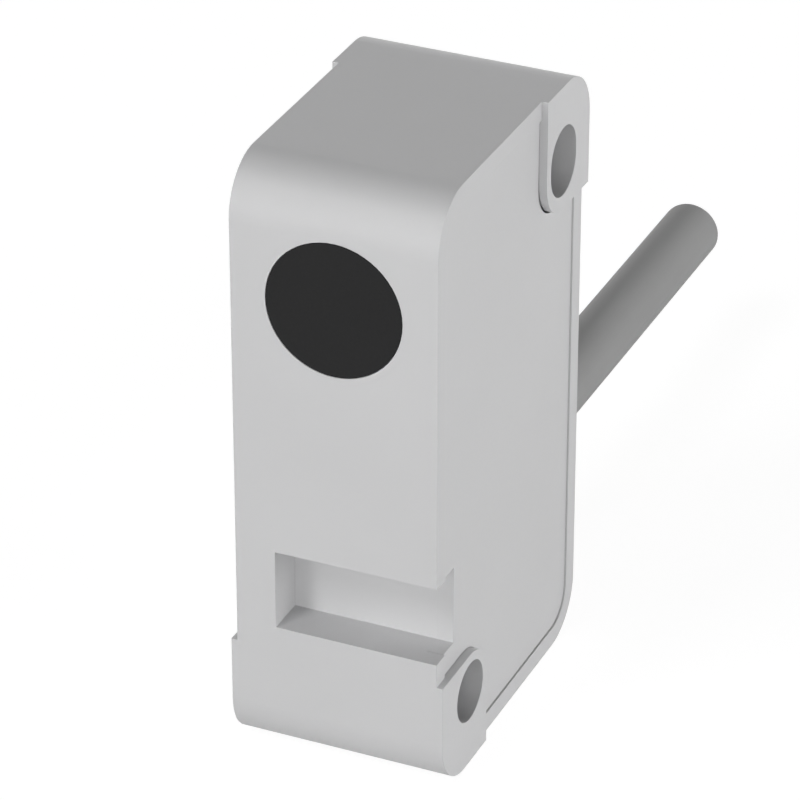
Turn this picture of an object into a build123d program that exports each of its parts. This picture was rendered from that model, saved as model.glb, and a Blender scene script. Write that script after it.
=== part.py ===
import os
from math import cos, radians, sin

from build123d import *

# Small block-style inductive proximity sensor with a fixed cable.
# Millimetres. X runs across the narrow width, Y from the sensing face to the cable, Z up.
# The origin is the centre of the housing's bottom face.

# Housing block
height = 29.0
depth = 16.0
rim_width = 9.6
corner_radius = 2.5
wall = 0.9
ledge = 0.4

# Raised mounting bosses and their holes, for M2.5 screws
boss_raise = 0.3
boss_wall = 0.45
hole_radius = 1.45
slot_stretch = 0.4
lower_hole_in = 3.05
lower_hole_up = 3.75
upper_hole_in = 3.0
upper_hole_down = 3.65
upper_boss_foot = 0.25

# Side cover
cover_thick = 0.8
cover_drop = 0.08
cover_gap = 0.03
seam_sharpen = 0.15
corner_relief = 0.5

# Recess low in the front face, open to the right
recess_land = 1.9
recess_low = 6.8
recess_height = 3.85
recess_depth = 2.0

# Sensing face cap
face_radius = 3.15
face_down = 5.8
face_thick = 0.6
cap_skirt = 0.35
cap_flange = 0.2
cap_flange_thick = 0.5
seat_gap = 0.03

# Pot core, bobbin and winding
core_gap = 0.05
core_length = 2.2
core_back = 0.7
core_wall = 0.5
core_post_radius = 1.1
bobbin_wall = 0.2
winding_short = 0.1
lead_radius = 0.07
lead_pitch = 0.5
lead_bend = 0.25
lead_slot = 0.9

# Circuit board
board_thick = 0.8
board_margin = 0.4
board_clear = 0.2
stud_radius = 0.8
stud_in = 1.5
pad_in = 1.1
coil_pad_pitch = 1.6
coil_joint_radius = 0.35
coil_joint_height = 0.35

# Parts on the board: each size is along the board's depth, along its height, and off the board.
# They stand in rows above the wires' solder joints, and the capacitors behind the coil.
row_gap = 0.15
chip_gap = 0.75
chip_size = (3.9, 4.9, 1.5)
chip_pin_pitch = 1.27
chip_pins_a_side = 4
transistor_size = (1.3, 2.9, 1.0)
transistor_behind_middle = 2.75
transistor_pin_pitch = 1.9
pin_reach = 1.05
pin_foot = 0.6
pin_width = 0.4
pin_thick = 0.18
diode_size = (1.25, 1.7, 0.95)
diode_before_middle = 2.45
diode_pitch = 1.8
diodes = 3
capacitor_size = (1.6, 0.8, 0.8)
capacitor_before_middle = 1.05
capacitor_above_coil = 1.8
capacitor_pitch = (2.2, 1.5)
resistor_size = (0.8, 1.6, 0.45)
resistor_pitch = 1.5
resistors = 5

# Cable
cable_up = 6.37
cable_radius = 1.5
cable_free = 27.9
cable_tail = 0.3
cut_edge = 0.12
jacket_wall = 0.4
insulation_radius = 0.49
copper_radius = 0.24
strand_gap = 0.01
lay_gap = 0.05
ring_wall = 0.3
ring_length = 1.5
core_turn = 120
wire_pad_pitch = 1.8
wire_bend = 1.0
wire_lead_out = 0.6
wire_slope = 2.0
wire_landing = 1.0
bare_end = 1.4
bare_stub = 0.8
wire_joint_radius = 0.65
wire_joint_height = 0.85
joint_taper = 20

# Potting resin
resin_drop = 0.3

# Places worked out from the sizes above
front = -depth / 2
rear = depth / 2
rim_x = rim_width / 2
boss_x = rim_x + boss_raise
floor_x = wall - rim_x
cover_top = rim_x - cover_drop
cover_seat = cover_top - cover_thick
shell = wall + ledge

boss_radius = hole_radius + boss_wall
lower_boss = (lower_hole_in + boss_radius, lower_hole_up + boss_radius)
upper_boss = (
    upper_hole_in + boss_radius,
    upper_hole_down + boss_radius + slot_stretch / 2 + upper_boss_foot,
)
lower_hole = (front + lower_hole_in, lower_hole_up)
upper_hole = (rear - upper_hole_in, height - upper_hole_down)
face_up = height - face_down

cap_length = face_thick + core_length
core_radius = face_radius - cap_skirt - core_gap
groove_radius = core_radius - core_wall
groove_end = face_thick + core_length - core_back
bobbin_radius = core_post_radius + core_gap
bobbin_length = groove_end - face_thick - core_gap
winding_inside = bobbin_radius + bobbin_wall
winding_outside = groove_radius - core_gap - winding_short
winding_middle = (winding_inside + winding_outside) / 2

ring_radius = cable_radius + ring_wall
board_face = -(ring_radius + board_clear)
board_back = board_face - board_thick
board_front = front + max(recess_depth + wall, cap_length) + board_margin
board_middle = (board_front + rear - shell - board_margin) / 2
board_mid_z = height / 2

jacket_inside = cable_radius - jacket_wall
tail_y = rear - shell - ring_length - cable_tail
cut_y = rear + cable_free
lay_radius = (insulation_radius + lay_gap / 2) / sin(radians(core_turn / 2))
wire_x = board_face + insulation_radius
strip_y = tail_y - wire_lead_out - wire_slope - wire_landing
bare_y = strip_y - bare_end

joints_top = cable_up + wire_pad_pitch + wire_joint_radius
diode_up = joints_top + row_gap + diode_size[1] / 2
transistor_up = joints_top + row_gap + transistor_size[1] / 2
resistor_up = transistor_up + transistor_size[1] / 2 + row_gap + resistor_size[1] / 2
chip_up = resistor_up + resistor_size[1] / 2 + chip_gap + chip_size[1] / 2

sensing_axis = Plane((0, front, face_up), x_dir=(1, 0, 0), z_dir=(0, 1, 0))
cable_axis = Plane((0, rear, cable_up), x_dir=(1, 0, 0), z_dir=(0, 1, 0))
board_plane = Plane.YZ.offset(board_face)


def keep(piece, name):
    """Label a finished piece and write it as its own file."""
    piece.part.label = name
    export_step(piece.part, f"parts/{name}.step")


def side_outline(x, inset, grow, sharpen=0.0):
    """The block's side view drawn in by inset, less both bosses widened by grow.

    The upper boss's corner radius is less by sharpen.
    """
    low_corner = (front + lower_boss[0] + grow, lower_boss[1] + grow)
    high_corner = (rear - upper_boss[0] - grow, height - upper_boss[1] - grow)
    with BuildSketch(Plane.YZ.offset(x)) as outline:
        with Locations((0, height / 2)):
            RectangleRounded(depth - 2 * inset, height - 2 * inset, corner_radius - inset)
        with Locations((front, 0)):
            Rectangle(
                lower_boss[0] + grow,
                lower_boss[1] + grow,
                align=(Align.MIN, Align.MIN),
                mode=Mode.SUBTRACT,
            )
        with Locations((rear, height)):
            Rectangle(
                upper_boss[0] + grow,
                upper_boss[1] + grow,
                align=(Align.MAX, Align.MAX),
                mode=Mode.SUBTRACT,
            )
        fillet(outline.vertices().sort_by_distance(low_corner)[0], boss_radius + grow)
        fillet(
            outline.vertices().sort_by_distance(high_corner)[0],
            boss_radius + grow - sharpen,
        )
    return outline.sketch


def recess_outline(x, border):
    """The recess seen from the side, with a border of plastic behind, above and below it."""
    with BuildSketch(Plane.YZ.offset(x)) as outline:
        with Locations((front, recess_low - border)):
            Rectangle(
                recess_depth + border,
                recess_height + 2 * border,
                align=(Align.MIN, Align.MIN),
            )
    return outline.sketch


def screw_holes(x):
    """The round lower hole and the slotted upper one."""
    with BuildSketch(Plane.YZ.offset(x)) as outline:
        with Locations(lower_hole):
            Circle(hole_radius)
        with Locations(upper_hole):
            SlotCenterToCenter(slot_stretch, 2 * hole_radius, rotation=90)
    return outline.sketch


# Housing: moulded tub, open on the right, with the bosses, studs and recess in one piece
os.makedirs("parts", exist_ok=True)

with BuildPart() as housing:
    with BuildSketch(Plane.YZ.offset(-boss_x)):
        with Locations((0, height / 2)):
            RectangleRounded(depth, height, corner_radius)
    extrude(amount=2 * boss_x)
    for side_x in (-boss_x, rim_x):
        extrude(side_outline(side_x, 0, 0), amount=boss_raise, mode=Mode.SUBTRACT)
    # The upper boss's corner is hollowed out beside the cover, so that the cover drops in freely
    extrude(
        side_outline(cover_seat, wall, 0, -corner_relief),
        amount=cover_thick,
        mode=Mode.SUBTRACT,
    )
    extrude(side_outline(cover_top, wall, 0), amount=boss_x - cover_top, mode=Mode.SUBTRACT)
    extrude(
        side_outline(floor_x, shell, ledge),
        amount=cover_seat - floor_x,
        mode=Mode.SUBTRACT,
    )
    extrude(recess_outline(floor_x, wall), amount=cover_seat - floor_x)
    extrude(
        recess_outline(recess_land - rim_x, 0),
        amount=2 * rim_x - recess_land,
        mode=Mode.SUBTRACT,
    )
    with BuildSketch(Plane.YZ.offset(floor_x)):
        with Locations(
            (board_middle, board_mid_z),
            (board_front + stud_in, height - shell - board_margin - stud_in),
            (rear - shell - board_margin - stud_in, shell + board_margin + stud_in),
        ):
            Circle(stud_radius)
    extrude(amount=board_back - floor_x)
    extrude(screw_holes(-boss_x), amount=2 * boss_x, mode=Mode.SUBTRACT)
    with BuildSketch(sensing_axis):
        Circle(face_radius + seat_gap)
    extrude(amount=shell, mode=Mode.SUBTRACT)
    with BuildSketch(cable_axis):
        Circle(cable_radius + seat_gap)
    extrude(amount=-shell, mode=Mode.SUBTRACT)
keep(housing, "housing")

# Side cover: flat plate laid on the ledge, a little below the rim
with BuildPart() as side_cover:
    extrude(
        side_outline(cover_seat, wall + cover_gap, cover_gap, seam_sharpen),
        amount=cover_thick,
    )
    extrude(recess_outline(cover_seat, 0), amount=cover_thick, mode=Mode.SUBTRACT)
keep(side_cover, "side_cover")

# Sensing face cap: black thimble with a flange behind the front wall
with BuildPart() as sensing_face_cap:
    with BuildSketch(sensing_axis):
        Circle(face_radius)
    extrude(amount=cap_length)
    with BuildSketch(sensing_axis.offset(shell)):
        Circle(face_radius + cap_flange)
    extrude(amount=cap_flange_thick)
    with BuildSketch(sensing_axis.offset(face_thick)):
        Circle(core_radius + core_gap)
    extrude(amount=core_length, mode=Mode.SUBTRACT)
keep(sensing_face_cap, "sensing_face_cap")


def lead_gap(y):
    """Opening for the coil's leads, on the board's side of the core."""
    with BuildSketch(sensing_axis.offset(y)) as outline:
        with Locations((-winding_inside, 0)):
            Rectangle(core_radius, lead_slot, align=(Align.MAX, Align.CENTER))
    return outline.sketch


# Ferrite pot core: half shell, its groove facing the sensing face
with BuildPart() as ferrite_core:
    with BuildSketch(sensing_axis.offset(face_thick)):
        Circle(core_radius)
    extrude(amount=core_length)
    with BuildSketch(sensing_axis.offset(face_thick)):
        Circle(groove_radius)
        Circle(core_post_radius, mode=Mode.SUBTRACT)
    extrude(amount=core_length - core_back, mode=Mode.SUBTRACT)
    extrude(lead_gap(groove_end), amount=core_back, mode=Mode.SUBTRACT)
keep(ferrite_core, "ferrite_core")

# Coil bobbin: thin tube with a flange at each end, seated on the floor of the groove
with BuildPart() as coil_bobbin:
    with BuildSketch(sensing_axis.offset(groove_end)):
        Circle(groove_radius - core_gap)
        Circle(bobbin_radius, mode=Mode.SUBTRACT)
    extrude(amount=-bobbin_length)
    with BuildSketch(sensing_axis.offset(groove_end - bobbin_wall)):
        Circle(groove_radius)
        Circle(winding_inside, mode=Mode.SUBTRACT)
    extrude(amount=2 * bobbin_wall - bobbin_length, mode=Mode.SUBTRACT)
    extrude(lead_gap(groove_end - bobbin_wall), amount=bobbin_wall, mode=Mode.SUBTRACT)
keep(coil_bobbin, "coil_bobbin")

# Coil winding: all turns of enamelled wire as one ring
with BuildPart() as coil_winding:
    with BuildSketch(sensing_axis.offset(groove_end - bobbin_wall)):
        Circle(winding_outside)
        Circle(winding_inside, mode=Mode.SUBTRACT)
    extrude(amount=2 * bobbin_wall - bobbin_length)
keep(coil_winding, "coil_winding")


def wire_run(points, bends, outside, inside=0.0):
    """A round wire or tube of even section along straight runs joined by arcs."""
    with BuildPart() as run:
        with BuildLine() as route:
            FilletPolyline(*points, radius=bends)
        with BuildSketch(Plane(route.line @ 0, z_dir=route.line % 0)):
            Circle(outside)
            if inside > 0:
                Circle(inside, mode=Mode.SUBTRACT)
        sweep()
    return run


def solder_mound(y, z, base, tall, wire):
    """A low cone of solder on the board, round the end of a wire."""
    with BuildPart() as mound:
        with BuildSketch(board_plane):
            with Locations((y, z)):
                Circle(base)
        extrude(amount=tall, taper=joint_taper)
        add(wire.part, mode=Mode.SUBTRACT)
    return mound


# Coil leads: two enamelled wires from the winding, through the core's back, to their pads
coil_leads = []
coil_mounds = []
for lead_name, lead_side in (("coil_start_lead", 1), ("coil_finish_lead", -1)):
    pad_z = face_up + lead_side * coil_pad_pitch / 2
    start_z = face_up + lead_side * lead_pitch / 2
    lead_x = board_face + 2 * lead_radius
    coil_lead = wire_run(
        [
            (-winding_middle, front + groove_end - bobbin_wall, start_z),
            (-winding_middle, front + cap_length + lead_bend, start_z),
            (lead_x, board_front + board_margin, pad_z),
            (lead_x, board_front + pad_in, pad_z),
        ],
        lead_bend,
        lead_radius,
    )
    keep(coil_lead, lead_name)
    coil_leads.append(coil_lead)
    coil_mounds.append(
        solder_mound(
            board_front + pad_in,
            pad_z,
            coil_joint_radius,
            coil_joint_height,
            coil_lead,
        )
    )

with BuildPart() as coil_solder_joints:
    for mound in coil_mounds:
        add(mound.part)
keep(coil_solder_joints, "coil_solder_joints")

# Circuit board: follows the tub, cut back at both bosses, on three studs
with BuildPart() as circuit_board:
    extrude(
        side_outline(board_back, shell + board_margin, ledge + board_margin),
        amount=board_thick,
    )
    with BuildSketch(Plane.YZ.offset(board_back)):
        with Locations((front, 0)):
            Rectangle(board_front - front, height, align=(Align.MIN, Align.MIN))
    extrude(amount=board_thick, mode=Mode.SUBTRACT)
keep(circuit_board, "circuit_board")


def board_part(size, places):
    """Like rectangular bodies seated on the board at the places given."""
    with BuildPart() as bodies:
        with BuildSketch(board_plane):
            with Locations(*places):
                Rectangle(size[0], size[1])
        extrude(amount=size[2])
    return bodies


def gull_pins(size, places):
    """Bent pins out of the sides of a body: each place is y, z and the side, 1 or -1."""
    knee = pin_reach - pin_foot
    half_up = size[2] / 2
    with BuildPart() as pins:
        for y, z, side in places:
            edge = y + side * size[0] / 2
            with BuildSketch(Plane.XY.offset(z - pin_width / 2)):
                with BuildLine():
                    Polyline(
                        (board_face + half_up, edge),
                        (board_face + half_up, edge + side * knee),
                        (board_face, edge + side * knee),
                        (board_face, edge + side * pin_reach),
                        (board_face + pin_thick, edge + side * pin_reach),
                        (board_face + pin_thick, edge + side * (knee + pin_thick)),
                        (board_face + half_up + pin_thick, edge + side * (knee + pin_thick)),
                        (board_face + half_up + pin_thick, edge),
                        close=True,
                    )
                make_face()
            extrude(amount=pin_width)
    return pins


# Controller chip: oscillator, detector and switching logic in one moulded body
controller_chip = board_part(chip_size, [(board_middle, chip_up)])
keep(controller_chip, "controller_chip")

pin_span = (chip_pins_a_side - 1) * chip_pin_pitch
chip_pin_places = [
    (board_middle, chip_up - pin_span / 2 + row * chip_pin_pitch, side)
    for row in range(chip_pins_a_side)
    for side in (-1, 1)
]
controller_chip_pins = gull_pins(chip_size, chip_pin_places)
keep(controller_chip_pins, "controller_chip_pins")

# Output transistor: two pins in front, one behind
transistor_y = board_middle + transistor_behind_middle
output_transistor = board_part(transistor_size, [(transistor_y, transistor_up)])
keep(output_transistor, "output_transistor")

transistor_pin_places = [
    (transistor_y, transistor_up - transistor_pin_pitch / 2, -1),
    (transistor_y, transistor_up + transistor_pin_pitch / 2, -1),
    (transistor_y, transistor_up, 1),
]
output_transistor_pins = gull_pins(transistor_size, transistor_pin_places)
keep(output_transistor_pins, "output_transistor_pins")

# Protection diodes, against reverse polarity and surges
diode_y = board_middle - diode_before_middle
diode_places = [
    (diode_y + (number - (diodes - 1) / 2) * diode_pitch, diode_up)
    for number in range(diodes)
]
protection_diodes = board_part(diode_size, diode_places)
keep(protection_diodes, "protection_diodes")

# Chip capacitors, two by two behind the coil
capacitor_places = [
    (
        board_middle - capacitor_before_middle + across * capacitor_pitch[0] / 2,
        face_up + capacitor_above_coil + up * capacitor_pitch[1] / 2,
    )
    for across in (-1, 1)
    for up in (-1, 1)
]
chip_capacitors = board_part(capacitor_size, capacitor_places)
keep(chip_capacitors, "chip_capacitors")

# Chip resistors, in a row under the controller chip
resistor_places = [
    (board_middle + (number - (resistors - 1) / 2) * resistor_pitch, resistor_up)
    for number in range(resistors)
]
chip_resistors = board_part(resistor_size, resistor_places)
keep(chip_resistors, "chip_resistors")

# Cable cores: each turns from the jacket's end down to its own pad on the board
wires = []
wire_mounds = []
for number, (colour, place) in enumerate((("brown", 1), ("blue", 0), ("black", -1))):
    lay_angle = core_turn * (number + 0.5)
    lay_x = lay_radius * cos(radians(lay_angle))
    lay_z = cable_up + lay_radius * sin(radians(lay_angle))
    pad_z = cable_up + place * wire_pad_pitch
    knee_in = (lay_x, tail_y - wire_lead_out, lay_z)
    knee_out = (wire_x, tail_y - wire_lead_out - wire_slope, pad_z)
    insulation = wire_run(
        [(lay_x, cut_y, lay_z), knee_in, knee_out, (wire_x, strip_y, pad_z)],
        wire_bend,
        insulation_radius,
        copper_radius + strand_gap,
    )
    keep(insulation, f"{colour}_insulation")
    copper = wire_run(
        [(lay_x, cut_y, lay_z), knee_in, knee_out, (wire_x, bare_y, pad_z)],
        wire_bend,
        copper_radius,
    )
    keep(copper, f"{colour}_copper")
    wires.append(insulation)
    wires.append(copper)
    wire_mounds.append(
        solder_mound(
            bare_y + bare_stub / 2,
            pad_z,
            wire_joint_radius,
            wire_joint_height,
            copper,
        )
    )

with BuildPart() as wire_solder_joints:
    for mound in wire_mounds:
        add(mound.part)
keep(wire_solder_joints, "wire_solder_joints")

# Cable jacket: straight stub, its cut end square with a slightly rounded edge
with BuildPart() as cable_jacket:
    with BuildSketch(Plane.XZ.offset(-tail_y)):
        with Locations((0, cable_up)):
            Circle(cable_radius)
            Circle(jacket_inside, mode=Mode.SUBTRACT)
    extrude(amount=tail_y - cut_y)
    outer_rim = cable_jacket.faces().sort_by(Axis.Y)[-1].edges().sort_by(SortBy.RADIUS)[-1]
    fillet(outer_rim, cut_edge)
keep(cable_jacket, "cable_jacket")

# Crimp ring: pressed on the jacket behind the rear wall, so that the cable can't be pulled out
with BuildPart() as cable_crimp_ring:
    with BuildSketch(cable_axis.offset(-shell)):
        Circle(ring_radius)
        Circle(cable_radius, mode=Mode.SUBTRACT)
    extrude(amount=-ring_length)
keep(cable_crimp_ring, "cable_crimp_ring")

# Potting compound: resin poured round the electronics to just below the cover
resin_level = cover_seat - resin_drop
with BuildPart() as potting_compound:
    extrude(side_outline(floor_x, shell, ledge), amount=resin_level - floor_x)
    extrude(
        recess_outline(floor_x, wall),
        amount=resin_level - floor_x,
        mode=Mode.SUBTRACT,
    )
    add(housing.part, mode=Mode.SUBTRACT)
    with BuildSketch(sensing_axis):
        Circle(face_radius)
    extrude(amount=cap_length, mode=Mode.SUBTRACT)
    with BuildSketch(cable_axis):
        Circle(cable_radius)
    extrude(amount=tail_y - rear, mode=Mode.SUBTRACT)
    for piece in (
        sensing_face_cap,
        circuit_board,
        controller_chip,
        controller_chip_pins,
        output_transistor,
        output_transistor_pins,
        protection_diodes,
        chip_capacitors,
        chip_resistors,
        coil_solder_joints,
        wire_solder_joints,
        cable_crimp_ring,
        *coil_leads,
        *wires,
    ):
        add(piece.part, mode=Mode.SUBTRACT)
keep(potting_compound, "potting_compound")
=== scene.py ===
import math

import bpy
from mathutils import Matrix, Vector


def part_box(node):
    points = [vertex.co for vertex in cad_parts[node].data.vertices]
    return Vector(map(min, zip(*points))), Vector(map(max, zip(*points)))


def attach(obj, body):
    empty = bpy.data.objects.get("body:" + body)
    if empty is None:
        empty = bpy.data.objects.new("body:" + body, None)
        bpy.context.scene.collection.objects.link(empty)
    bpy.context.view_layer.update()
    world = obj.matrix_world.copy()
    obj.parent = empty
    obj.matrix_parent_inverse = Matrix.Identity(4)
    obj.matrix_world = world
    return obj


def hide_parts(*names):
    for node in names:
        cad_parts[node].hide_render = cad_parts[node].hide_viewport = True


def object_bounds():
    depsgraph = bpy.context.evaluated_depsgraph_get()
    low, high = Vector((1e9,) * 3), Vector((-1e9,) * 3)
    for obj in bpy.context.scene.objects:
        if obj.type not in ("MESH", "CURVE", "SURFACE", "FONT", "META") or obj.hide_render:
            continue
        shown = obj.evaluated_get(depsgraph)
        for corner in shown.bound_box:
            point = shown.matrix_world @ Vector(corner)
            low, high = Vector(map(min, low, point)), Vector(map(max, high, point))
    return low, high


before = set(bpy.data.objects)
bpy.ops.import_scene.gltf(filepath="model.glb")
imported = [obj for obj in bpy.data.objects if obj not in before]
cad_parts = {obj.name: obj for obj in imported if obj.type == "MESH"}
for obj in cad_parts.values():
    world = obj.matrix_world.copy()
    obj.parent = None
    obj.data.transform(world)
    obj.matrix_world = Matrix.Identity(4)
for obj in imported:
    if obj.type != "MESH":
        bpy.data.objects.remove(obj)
cad_box = [list(corner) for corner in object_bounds()]

# Housing
# A tub of light-grey PBT, injection moulded in one piece with its screw bosses and the front recess.
# The open right side takes the electronics, the resin and then the cover.


def linear(hex_colour):
    """An sRGB colour written as hex, as the linear RGBA that a socket takes."""
    parts = [int(hex_colour[i : i + 2], 16) / 255 for i in (1, 3, 5)]
    return [c / 12.92 if c <= 0.04045 else ((c + 0.055) / 1.055) ** 2.4 for c in parts] + [1.0]


def add(tree, kind, settings, links=None):
    """Add a node, give it its settings, and link its inputs to other nodes' outputs."""
    node = tree.nodes.new(kind)
    for name, value in settings.items():
        if isinstance(name, int) or name in node.inputs:
            node.inputs[name].default_value = value
        else:
            setattr(node, name, value)
    for name, output in (links or {}).items():
        tree.links.new(output, node.inputs[name])
    return node


def new_material(name, settings):
    """A material with its shader set: the material, its node tree, its place on the object, its shader."""
    material = bpy.data.materials.new(name)
    material.use_nodes = True
    tree = material.node_tree
    tree.nodes.clear()
    place = add(tree, "ShaderNodeTexCoord", {}).outputs["Object"]
    shader = add(tree, "ShaderNodeBsdfPrincipled", settings)
    add(tree, "ShaderNodeOutputMaterial", {}, {"Surface": shader.outputs[0]})
    return material, tree, place, shader


def dress(node_name, material):
    """Put a material on a piece of the frame, in place of its plain one."""
    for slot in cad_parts[node_name].material_slots:
        slot.material = material


MM = 0.001
# Nearly all of a noise texture lies between these two, so they are the ends of a run of shades
noise_range = {"From Min": 0.3, "From Max": 0.7}


def moulded(name, colours, settings, grain=0.12, depth=0.002, sheen=0.05, edge=0.0):
    """A moulded plastic: clouds of two close shades, and the grain that the tool leaves on the skin.

    The grain is given by its size and depth, and a worn tool edge by its radius, in millimetres.
    """
    material, tree, place, shader = new_material(name, settings)
    # The plastic cools in broad clouds of a barely different shade
    cloud = 6 * MM
    clouds = add(
        tree,
        "ShaderNodeTexNoise",
        {"Scale": 1 / cloud, "Detail": 2.0},
        {"Vector": place},
    )
    skin = add(
        tree,
        "ShaderNodeTexNoise",
        {"Scale": 1 / (grain * MM), "Detail": 3.0, "Roughness": 0.6},
        {"Vector": place},
    )
    roughness = settings["Roughness"]
    relief = add(
        tree,
        "ShaderNodeBump",
        {"Strength": 1.0, "Distance": depth * MM},
        {"Height": skin.outputs[0]},
    )
    if edge:
        corner = add(tree, "ShaderNodeBevel", {"Radius": edge * MM, "samples": 6})
        tree.links.new(corner.outputs[0], relief.inputs["Normal"])
    cloudy = add(tree, "ShaderNodeMapRange", noise_range, {"Value": clouds.outputs[0]})
    shade = add(
        tree,
        "ShaderNodeMix",
        {"data_type": "RGBA", 6: linear(colours[0]), 7: linear(colours[1])},
        {"Factor": cloudy.outputs[0]},
    )
    gloss = add(
        tree,
        "ShaderNodeMapRange",
        {**noise_range, "To Min": roughness - sheen, "To Max": roughness + sheen},
        {"Value": skin.outputs[0]},
    )
    tree.links.new(shade.outputs[2], shader.inputs["Base Color"])
    tree.links.new(gloss.outputs[0], shader.inputs["Roughness"])
    tree.links.new(relief.outputs[0], shader.inputs["Normal"])
    return material


# Moulded PBT from a spark-eroded tool: satin, with a grain finer than the eye finds, drawn here at
# 0.12 mm so that it shows, and edges that are a little rounded
pbt_greys = ("#cdcdce", "#cfcfd0")
dress(
    "housing",
    moulded("moulded_grey_pbt", pbt_greys, {"Roughness": 0.5, "IOR": 1.5}, edge=0.03),
)

# Side cover
# A flat plate of the same PBT that closes the tub after potting. It lies on the ledge just below the
# rim, and is welded there all round.
dress(
    "side_cover",
    moulded(
        "moulded_grey_pbt_plate",
        pbt_greys,
        {"Roughness": 0.5, "IOR": 1.5},
        depth=0.0015,
        edge=0.02,
    ),
)

# Sensing face cap
# A thimble of black PBT with a thin flush face, pressed into the front wall from inside.
# Its tool is polished finer than the housing's, so the face is smooth and deep in colour.
dress(
    "sensing_face_cap",
    moulded(
        "moulded_black_pbt",
        ("#0b0b0c", "#0e0e0f"),
        {"Roughness": 0.55, "IOR": 1.5, "Specular IOR Level": 0.24},
        depth=0.001,
        edge=0.03,
    ),
)

# Ferrite core
# A half pot core of manganese-zinc ferrite, pressed and sintered, and glued into the cap. It faces
# forwards and throws the coil's field out through the sensing face.
# Sintered ferrite: a dark ceramic with fine pores, and a slight metallic lustre where it is ground
dress(
    "ferrite_core",
    moulded(
        "sintered_ferrite",
        ("#242322", "#302e2c"),
        {"Roughness": 0.5, "IOR": 2.2},
        grain=0.08,
        depth=0.006,
        sheen=0.12,
    ),
)

# Coil bobbin
# A thin spool of glass-filled nylon that holds the turns, moulded whole and slipped over the post.
# Natural nylon with short glass in it: cream, waxy, and a little see-through at its thin edges
dress(
    "coil_bobbin",
    moulded(
        "moulded_natural_nylon",
        ("#d8d0b8", "#e0d9c4"),
        {"Roughness": 0.42, "IOR": 1.53, "Subsurface Weight": 0.1, "Subsurface Scale": 0.3 * MM},
        grain=0.1,
        depth=0.002,
    ),
)

# Coil winding and its two leads
# Some forty turns of 0.1 mm enamelled copper wire, wound on the bobbin in even layers. Both ends come
# back through the slot in the core to their pads on the board.


def drawn_metal(name, colours, settings, pitch=0.0, depth=0.0, sheen=0.06):
    """A drawn, wound or turned metal: two close shades, and ridges along Y at a pitch, in millimetres."""
    material, tree, place, shader = new_material(name, {"Metallic": 1.0, **settings})
    # Handling and heat leave patches of a slightly duller shade
    patch = 0.9 * MM
    patches = add(
        tree,
        "ShaderNodeTexNoise",
        {"Scale": 1 / patch, "Detail": 4.0},
        {"Vector": place},
    )
    roughness = settings["Roughness"]
    patchy = add(tree, "ShaderNodeMapRange", noise_range, {"Value": patches.outputs[0]})
    shade = add(
        tree,
        "ShaderNodeMix",
        {"data_type": "RGBA", 6: linear(colours[0]), 7: linear(colours[1])},
        {"Factor": patchy.outputs[0]},
    )
    gloss = add(
        tree,
        "ShaderNodeMapRange",
        {**noise_range, "To Min": roughness - sheen, "To Max": roughness + sheen},
        {"Value": patches.outputs[0]},
    )
    tree.links.new(shade.outputs[2], shader.inputs["Base Color"])
    tree.links.new(gloss.outputs[0], shader.inputs["Roughness"])
    if pitch:
        # A wave texture of scale 1 repeats every pi / 10
        ridges = add(
            tree,
            "ShaderNodeTexWave",
            {"bands_direction": "Y", "Scale": math.pi / 10 / (pitch * MM), "Distortion": 0.4},
            {"Vector": place},
        )
        relief = add(
            tree,
            "ShaderNodeBump",
            {"Strength": 1.0, "Distance": depth * MM},
            {"Height": ridges.outputs[0]},
        )
        tree.links.new(relief.outputs[0], shader.inputs["Normal"])
    return material


# Enamelled copper: red metal under a clear amber lacquer that keeps a wet gloss
enamel = {"Roughness": 0.32, "Coat Weight": 0.8, "Coat Roughness": 0.12, "Coat IOR": 1.55}
enamel["Coat Tint"] = linear("#f0b070")
dress(
    "coil_winding",
    drawn_metal("enamelled_copper_turns", ("#b06234", "#c0703e"), enamel, pitch=0.1, depth=0.04),
)
enamelled_copper = drawn_metal("enamelled_copper_wire", ("#b06234", "#c0703e"), enamel)
dress("coil_start_lead", enamelled_copper)
dress("coil_finish_lead", enamelled_copper)

# Circuit board
# A plate of 0.8 mm glass-epoxy laminate on three studs of the housing. Its face carries all the parts
# and is coated green. Its sawn edges are bare.
board, tree, place, shader = new_material(
    "glass_epoxy_laminate", {"IOR": 1.55, "Coat Weight": 0.3, "Coat Roughness": 0.2}
)
# The glass cloth shows through the coating as a faint check, one thread to 0.45 mm
thread = 0.45
weave = []
for direction in ("Y", "Z"):
    threads = add(
        tree,
        "ShaderNodeTexWave",
        {"bands_direction": direction, "Scale": math.pi / 10 / (thread * MM), "Distortion": 0.3},
        {"Vector": place},
    )
    weave.append(threads.outputs["Fac"])
cloth = add(tree, "ShaderNodeMath", {"operation": "MULTIPLY"}, {0: weave[0], 1: weave[1]})
mask_green, sawn_edge = [
    add(
        tree,
        "ShaderNodeMix",
        {"data_type": "RGBA", 6: linear(between), 7: linear(on_thread)},
        {"Factor": cloth.outputs[0]},
    ).outputs[2]
    for between, on_thread in (("#14603a", "#1a6d44"), ("#a9a36b", "#c2bd86"))
]
facing = add(tree, "ShaderNodeNewGeometry", {})
across = add(tree, "ShaderNodeSeparateXYZ", {}, {0: facing.outputs["True Normal"]})
turned = add(tree, "ShaderNodeMath", {"operation": "ABSOLUTE"}, {0: across.outputs["X"]})
is_face = add(tree, "ShaderNodeMath", {"operation": "GREATER_THAN", 1: 0.5}, {0: turned.outputs[0]})
coating = add(
    tree,
    "ShaderNodeMix",
    {"data_type": "RGBA"},
    {"Factor": is_face.outputs[0], 6: sawn_edge, 7: mask_green},
)
ripple = add(
    tree,
    "ShaderNodeBump",
    {"Strength": 1.0, "Distance": 0.004 * MM},
    {"Height": cloth.outputs[0]},
)
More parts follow.
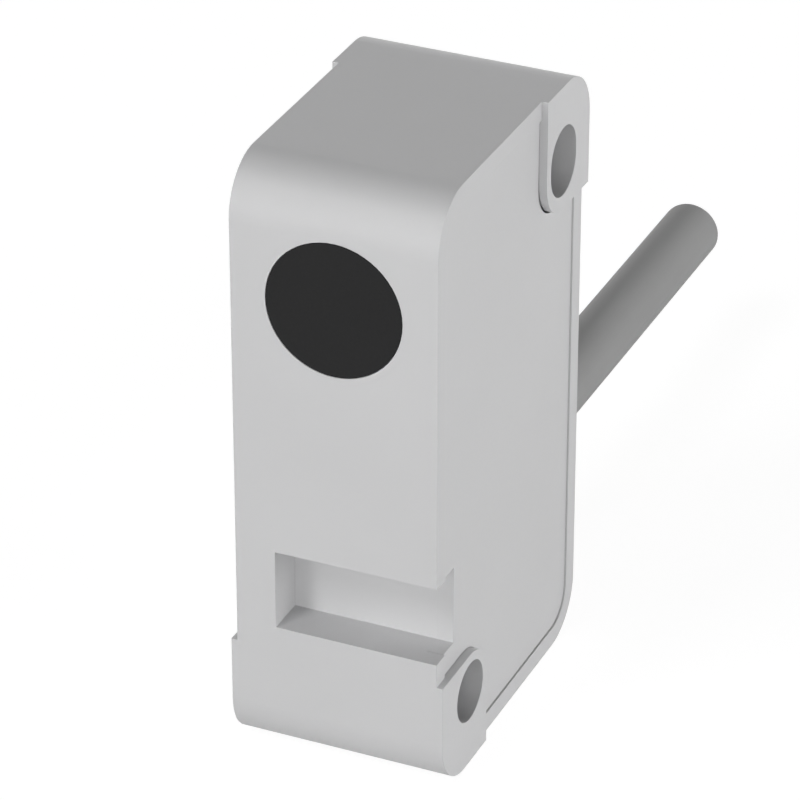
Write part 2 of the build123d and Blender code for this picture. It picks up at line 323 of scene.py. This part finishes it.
# Coated faces are glossy and sawn edges are dull
edge_roughness, face_roughness = 0.75, 0.3
gloss = add(
    tree,
    "ShaderNodeMapRange",
    {"To Min": edge_roughness, "To Max": face_roughness},
    {"Value": is_face.outputs[0]},
)
tree.links.new(gloss.outputs[0], shader.inputs["Roughness"])
tree.links.new(coating.outputs[2], shader.inputs["Base Color"])
tree.links.new(ripple.outputs[0], shader.inputs["Normal"])
dress("circuit_board", board)

# Controller chip, output transistor and protection diodes
# Bodies of black epoxy, transfer moulded round their silicon and their lead frames, and soldered to
# the board. Each diode has a pale band at its cathode.
# Moulding epoxy: nearly black and matt, with a fine sandy skin from the tool
epoxy = {"Roughness": 0.62, "IOR": 1.55}
black_epoxy = moulded("moulded_black_epoxy", ("#171718", "#1d1d1e"), epoxy, grain=0.09, depth=0.003)
dress("controller_chip", black_epoxy)
dress("output_transistor", black_epoxy)


def ringed(name, along, middle, reach, inside, outside, settings):
    """A body with bands across it: one shade within reach of middle along an axis, the other beyond.

    Each shade is a hex colour, a roughness and a metallic value. Sizes are in millimetres.
    """
    material, tree, place, shader = new_material(name, settings)
    grain_size, grain_depth = 0.09 * MM, 0.003 * MM
    grain = add(
        tree,
        "ShaderNodeTexNoise",
        {"Scale": 1 / grain_size, "Detail": 3.0},
        {"Vector": place},
    )
    height = add(tree, "ShaderNodeSeparateXYZ", {}, {0: place}).outputs[along]
    for centre in middle:
        offset = add(tree, "ShaderNodeMath", {"operation": "SUBTRACT", 1: centre * MM}, {0: height})
        height = add(tree, "ShaderNodeMath", {"operation": "ABSOLUTE"}, {0: offset.outputs[0]}).outputs[0]
    beyond = add(tree, "ShaderNodeMath", {"operation": "GREATER_THAN", 1: reach * MM}, {0: height})
    speckle = add(tree, "ShaderNodeMapRange", noise_range, {"Value": grain.outputs[0]})
    shades = [
        add(
            tree,
            "ShaderNodeMix",
            {"data_type": "RGBA", 6: linear(colour), 7: linear(lighter)},
            {"Factor": speckle.outputs[0]},
        ).outputs[2]
        for colour, lighter in (inside[0], outside[0])
    ]
    coat = add(
        tree,
        "ShaderNodeMix",
        {"data_type": "RGBA"},
        {"Factor": beyond.outputs[0], 6: shades[0], 7: shades[1]},
    )
    relief = add(
        tree,
        "ShaderNodeBump",
        {"Strength": 1.0, "Distance": grain_depth},
        {"Height": grain.outputs[0]},
    )
    tree.links.new(coat.outputs[2], shader.inputs["Base Color"])
    for socket, within, past in zip(("Roughness", "Metallic"), inside[1:], outside[1:]):
        if within == past:
            shader.inputs[socket].default_value = within
            continue
        change = add(
            tree, "ShaderNodeMapRange", {"To Min": within, "To Max": past}, {"Value": beyond.outputs[0]}
        )
        tree.links.new(change.outputs[0], shader.inputs[socket])
    tree.links.new(relief.outputs[0], shader.inputs["Normal"])
    return material


diode_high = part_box("protection_diodes")[1]
# The pale band's width, and how far its middle lies from the diode's upper end
cathode_band, cathode_inset = 0.28, 0.4
dress(
    "protection_diodes",
    ringed(
        "banded_black_epoxy",
        "Z",
        (diode_high[2] / MM - cathode_inset,),
        cathode_band / 2,
        (("#b9b9b4", "#c4c4bf"), 0.6, 0.0),
        (("#171718", "#1d1d1e"), 0.6, 0.0),
        {"IOR": 1.55},
    ),
)

# Chip pins and transistor pins
# Legs of tinned copper alloy, stamped and bent with the lead frame, and soldered flat to their pads.
# Tinned alloy: a cool satin white metal, with a faint bloom from the solder bath
tinned_alloy = drawn_metal("tinned_copper_alloy", ("#b9bbbd", "#c9cbcd"), {"Roughness": 0.34})
dress("controller_chip_pins", tinned_alloy)
dress("output_transistor_pins", tinned_alloy)

# Chip capacitors and chip resistors
# Layers of tan ceramic, and plates of alumina under a dark glass, fired as blocks. Each has a tinned
# cap at both ends, soldered to the board.
tinned_end = (("#b9bbbd", "#c9cbcd"), 0.34, 1.0)
capacitor_low, capacitor_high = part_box("chip_capacitors")
capacitor_length, capacitor_end = 1.6, 0.27
capacitor_middle = (capacitor_low[1] + capacitor_high[1]) / 2 / MM
dress(
    "chip_capacitors",
    ringed(
        "fired_tan_ceramic",
        "Y",
        (capacitor_middle, capacitor_high[1] / MM - capacitor_middle - capacitor_length / 2),
        capacitor_length / 2 - capacitor_end,
        (("#93704f", "#a37f5c"), 0.5, 0.0),
        tinned_end,
        {"IOR": 1.6},
    ),
)
resistor_low, resistor_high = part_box("chip_resistors")
resistor_end = 0.3
dress(
    "chip_resistors",
    ringed(
        "glazed_alumina",
        "Z",
        ((resistor_low[2] + resistor_high[2]) / 2 / MM,),
        (resistor_high[2] - resistor_low[2]) / 2 / MM - resistor_end,
        (("#161a1c", "#1c2124"), 0.28, 0.0),
        tinned_end,
        {"IOR": 1.6},
    ),
)

# Solder joints
# Small cones of tin solder that hold the coil's two wires and the cable's three to their pads.
# Tin solder set in air: bright, but with a fine frost over the cone
solder = drawn_metal("tin_solder", ("#bcbdbe", "#cfd0d1"), {"Roughness": 0.24}, sheen=0.1)
dress("coil_solder_joints", solder)
dress("wire_solder_joints", solder)

# Cable jacket and the three insulated cores
# A sheath of grey PVC, extruded over cores with brown, blue and black PVC, and cut square.
# The die draws faint lines along the length of each.


def extruded(name, colours, settings, line=0.12, depth=0.002, sheen=0.06):
    """An extruded plastic with die lines along Y: their spacing and depth are in millimetres."""
    material, tree, place, shader = new_material(name, settings)
    # The lines run on for some thirty times their spacing
    run = add(tree, "ShaderNodeMapping", {"Scale": (1, 1 / 30, 1)}, {"Vector": place})
    lines = add(
        tree,
        "ShaderNodeTexNoise",
        {"Scale": 1 / (line * MM), "Detail": 3.0},
        {"Vector": run.outputs[0]},
    )
    cloud = 5 * MM
    clouds = add(
        tree,
        "ShaderNodeTexNoise",
        {"Scale": 1 / cloud, "Detail": 2.0},
        {"Vector": place},
    )
    relief = add(
        tree,
        "ShaderNodeBump",
        {"Strength": 1.0, "Distance": depth * MM},
        {"Height": lines.outputs[0]},
    )
    roughness = settings["Roughness"]
    cloudy = add(tree, "ShaderNodeMapRange", noise_range, {"Value": clouds.outputs[0]})
    shade = add(
        tree,
        "ShaderNodeMix",
        {"data_type": "RGBA", 6: linear(colours[0]), 7: linear(colours[1])},
        {"Factor": cloudy.outputs[0]},
    )
    gloss = add(
        tree,
        "ShaderNodeMapRange",
        {**noise_range, "To Min": roughness - sheen, "To Max": roughness + sheen},
        {"Value": lines.outputs[0]},
    )
    tree.links.new(shade.outputs[2], shader.inputs["Base Color"])
    tree.links.new(gloss.outputs[0], shader.inputs["Roughness"])
    tree.links.new(relief.outputs[0], shader.inputs["Normal"])
    return material


# Sheath PVC: mid grey and matt, because it is plasticised and slightly soft
dress(
    "cable_jacket",
    extruded(
        "extruded_grey_pvc",
        ("#9e9e9e", "#a1a1a1"),
        {"Roughness": 0.85, "IOR": 1.5, "Specular IOR Level": 0.35},
    ),
)
# Core PVC: thinner, harder and glossier than the sheath
core_colours = {
    "brown": ("#5b3220", "#643824"),
    "blue": ("#1c4f9c", "#2258a6"),
    "black": ("#151516", "#1b1b1c"),
}
for core, colours in core_colours.items():
    dress(
        f"{core}_insulation",
        extruded(f"extruded_{core}_pvc", colours, {"Roughness": 0.36, "IOR": 1.53}, line=0.08),
    )

# Copper strands
# Seven bare wires of 0.16 mm in each core, twisted together once in 8 mm. They run from the cut end
# to their solder joint, and leave the insulation just short of it.
# Drawn bare copper: bright salmon red, slightly dulled by air
bare_copper = drawn_metal("drawn_bare_copper", ("#b4694a", "#c67a58"), {"Roughness": 0.28})
strand_radius = 0.08 * MM
twist_length = 8 * MM
strand_step = 0.25 * MM
strand_facets, outer_strands = 10, 6
jacket_low, jacket_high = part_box("cable_jacket")
cable_height = (jacket_low[2] + jacket_high[2]) / 2 / MM
cut_end = jacket_high[1] / MM
# Where the cores bend towards the board and straighten on to it, how far each bend reaches, the face
# of their pads, and where they end
bend_rear, bend_front, bend_reach = 4.3, 2.3, 0.93
pad_face, core_end = -1.51, -0.1
# Each core's place beside the cable's axis, across and up, and its pad above or below that axis
core_places = {
    "brown": (0.2973, 0.5150, 1.8),
    "blue": (-0.5947, 0.0, 0.0),
    "black": (0.2973, -0.5150, -1.8),
}
for core, (aside, above, pad) in core_places.items():
    run_z = cable_height + above
    pad_z = cable_height + pad
    knee_in, knee_out = (aside, bend_rear, run_z), (pad_face, bend_front, pad_z)
    lean = bend_reach / math.dist(knee_in, knee_out)
    steps = [(b - a) * lean for a, b in zip(knee_in, knee_out)]
    points = [
        (aside, cut_end, run_z),
        (aside, bend_rear + bend_reach, run_z),
        knee_in,
        tuple(a + step for a, step in zip(knee_in, steps)),
        tuple(b - step for b, step in zip(knee_out, steps)),
        knee_out,
        (pad_face, bend_front - bend_reach, pad_z),
        (pad_face, core_end, pad_z),
    ]
    line = bpy.data.curves.new(f"{core}_route", "CURVE")
    line.dimensions = "3D"
    spline = line.splines.new("NURBS")
    spline.points.add(len(points) - 1)
    for point, spot in zip(spline.points, points):
        point.co = (*(part * MM for part in spot), 1)
    spline.order_u = 3
    spline.use_endpoint_u = True
    spline.resolution_u = 16
    route = bpy.data.objects.new(f"{core}_route", line)
    bpy.context.scene.collection.objects.link(route)

    bpy.ops.object.select_all(action="DESELECT")
    bpy.ops.mesh.primitive_circle_add(
        vertices=strand_facets,
        radius=strand_radius,
        rotation=(math.pi / 2, 0, 0),
        location=(0, 0, 0),
    )
    strands = bpy.context.object
    strands.name = f"{core}_strands"
    bpy.ops.object.transform_apply(rotation=True)
    bpy.ops.object.mode_set(mode="EDIT")
    for turn in range(outer_strands):
        spot = turn * math.tau / outer_strands
        bpy.ops.mesh.primitive_circle_add(
            vertices=strand_facets,
            radius=strand_radius,
            rotation=(math.pi / 2, 0, 0),
            location=(2 * strand_radius * math.cos(spot), 0, 2 * strand_radius * math.sin(spot)),
        )
    bpy.ops.object.mode_set(mode="OBJECT")
    run_length = spline.calc_length()
    twist = strands.modifiers.new("twist", "SCREW")
    twist.axis = "Y"
    twist.screw_offset = run_length
    twist.angle = math.tau * run_length / twist_length
    twist.steps = twist.render_steps = round(run_length / strand_step)
    twist.use_smooth_shade = True
    bpy.ops.object.modifier_apply(modifier="twist")
    bpy.ops.object.mode_set(mode="EDIT")
    bpy.ops.mesh.select_all(action="SELECT")
    bpy.ops.mesh.fill_holes(sides=0)
    bpy.ops.mesh.select_all(action="SELECT")
    bpy.ops.mesh.normals_make_consistent(inside=False)
    bpy.ops.object.mode_set(mode="OBJECT")
    follow = strands.modifiers.new("follow", "CURVE")
    follow.object = route
    follow.deform_axis = "POS_Y"
    bpy.ops.object.modifier_apply(modifier="follow")
    bpy.ops.object.shade_smooth_by_angle(angle=math.radians(40))
    bpy.data.objects.remove(route)
    strands.data.materials.append(bare_copper)
    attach(strands, "root")
    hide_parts(f"{core}_copper")

# Cable crimp ring
# A short sleeve of brass, turned from bar and pressed on the jacket behind the rear wall, where the
# resin grips it and takes any pull on the cable.
# Turned brass: warm yellow, with fine rings from the tool every 0.06 mm
dress(
    "cable_crimp_ring",
    drawn_metal("turned_brass", ("#b8954f", "#c6a35c"), {"Roughness": 0.3}, pitch=0.06, depth=0.003),
)

# Potting compound
# Two-part epoxy resin, poured round the board and the coil until the tub is nearly full, and cured.
# Cured resin: a brown black with a glassy skin that dips slightly between the parts
dress(
    "potting_compound",
    moulded(
        "cured_epoxy_resin",
        ("#1b1715", "#221d1a"),
        {"Roughness": 0.2, "IOR": 1.56},
        grain=1.6,
        depth=0.03,
        sheen=0.06,
    ),
)

# Studio
# A pale floor and a white surround. Soft square lamps stand all round the sensor, and a low bright
# band behind them lights it from the level of the horizon.


def backdrop_ray(tree):
    """One where a ray comes straight from the camera, or off gloss or through glass, else nought."""
    path = add(tree, "ShaderNodeLightPath", {})
    seen = path.outputs["Is Camera Ray"]
    for kind in ("Is Glossy Ray", "Is Transmission Ray"):
        seen = add(
            tree, "ShaderNodeMath", {"operation": "MAXIMUM"}, {0: seen, 1: path.outputs[kind]}
        ).outputs[0]
    return seen


# The floor lies a hair below the sensor's foot, so that no two faces share a plane
floor_side, floor_gap = 4.0, 0.02 * MM
bpy.ops.object.select_all(action="DESELECT")
bpy.ops.mesh.primitive_plane_add(size=floor_side, location=(0, 0, -floor_gap))
floor = bpy.context.object
floor.name = "floor"
material = bpy.data.materials.new("pale_floor")
material.use_nodes = True
tree = material.node_tree
tree.nodes.clear()
# Painted board that glows to white in the picture, and darkens only where the sensor shades it
paper_grey, glow_strength, glow_share = 0.45, 1.54, 0.6
paper = add(tree, "ShaderNodeBsdfDiffuse", {"Color": (paper_grey, paper_grey, paper_grey, 1)})
glow = add(tree, "ShaderNodeEmission", {"Strength": glow_strength})
share = add(
    tree, "ShaderNodeMath", {"operation": "MULTIPLY", 1: glow_share}, {0: backdrop_ray(tree)}
)
mix = add(tree, "ShaderNodeMixShader", {}, {0: share.outputs[0], 1: paper.outputs[0], 2: glow.outputs[0]})
add(tree, "ShaderNodeOutputMaterial", {}, {"Surface": mix.outputs[0]})
floor.data.materials.append(material)

world = bpy.data.worlds.new("studio")
bpy.context.scene.world = world
world.use_nodes = True
tree = world.node_tree
tree.nodes.clear()
# The band is brightest at the horizon and fades to nothing at band_top, the sine of its rise
band_strength, band_top = 4.2, 0.17
sky = add(tree, "ShaderNodeTexCoord", {})
rise = add(tree, "ShaderNodeSeparateXYZ", {}, {0: sky.outputs["Generated"]})
fading = {"From Min": 0.0, "From Max": band_top, "To Min": band_strength, "To Max": 0.0}
fade = add(tree, "ShaderNodeMapRange", fading, {"Value": rise.outputs["Z"]})
band = add(tree, "ShaderNodeBackground", {"Color": (1, 1, 1, 1)}, {"Strength": fade.outputs[0]})
white = add(tree, "ShaderNodeBackground", {"Color": (1, 1, 1, 1), "Strength": 1.0})
mix = add(
    tree, "ShaderNodeMixShader", {}, {0: backdrop_ray(tree), 1: band.outputs[0], 2: white.outputs[0]}
)
add(tree, "ShaderNodeOutputWorld", {}, {"Surface": mix.outputs[0]})

# Each lamp's bearing from the front and its rise, in degrees, and its power in watts
softboxes = {
    "front": (-25, 10, 0.73),
    "front_middle": (0, 10, 0.33),
    "front_left": (-60, 10, 0.47),
    "front_left_raised": (-60, 28, 0.12),
    "rear_left": (-150, 10, 0.21),
    "rear": (180, 10, 0.41),
    "rear_raised": (180, 28, 0.61),
    "right": (100, 10, 1.42),
    "side_right": (70, 10, 0.56),
    "front_right": (22, 10, 0.51),
    "front_high": (-25, 48, 1.15),
}
softbox_side, softbox_reach = 0.2, 0.7
middle = cad_box[1][2] / 2
for name, (bearing, rise, watts) in softboxes.items():
    turn, lift = math.radians(bearing), math.radians(rise)
    bpy.ops.object.light_add(
        type="AREA",
        location=(
            softbox_reach * math.sin(turn) * math.cos(lift),
            -softbox_reach * math.cos(turn) * math.cos(lift),
            middle + softbox_reach * math.sin(lift),
        ),
        rotation=(math.pi / 2 - lift, 0, turn),
    )
    lamp = bpy.context.object
    lamp.name = f"{name}_softbox"
    lamp.data.size = softbox_side
    lamp.data.energy = watts
    lamp.visible_camera = False

# Camera
# A long lens from the front and the right, about thirty degrees up. Its place, turn and length are
# fitted to the sensor's outline.
camera = bpy.data.cameras.new("photo_camera")
camera.lens = 203.0
camera.sensor_width = 36
camera.clip_start = 0.01
view = bpy.data.objects.new("photo_camera", camera)
bpy.context.scene.collection.objects.link(view)
view.location = (0.07012, -0.15915, 0.11295)
view.rotation_euler = (math.radians(60.562), 0, math.radians(23.925))
bpy.context.scene.camera = view
bpy.context.scene.view_settings.view_transform = "Standard"
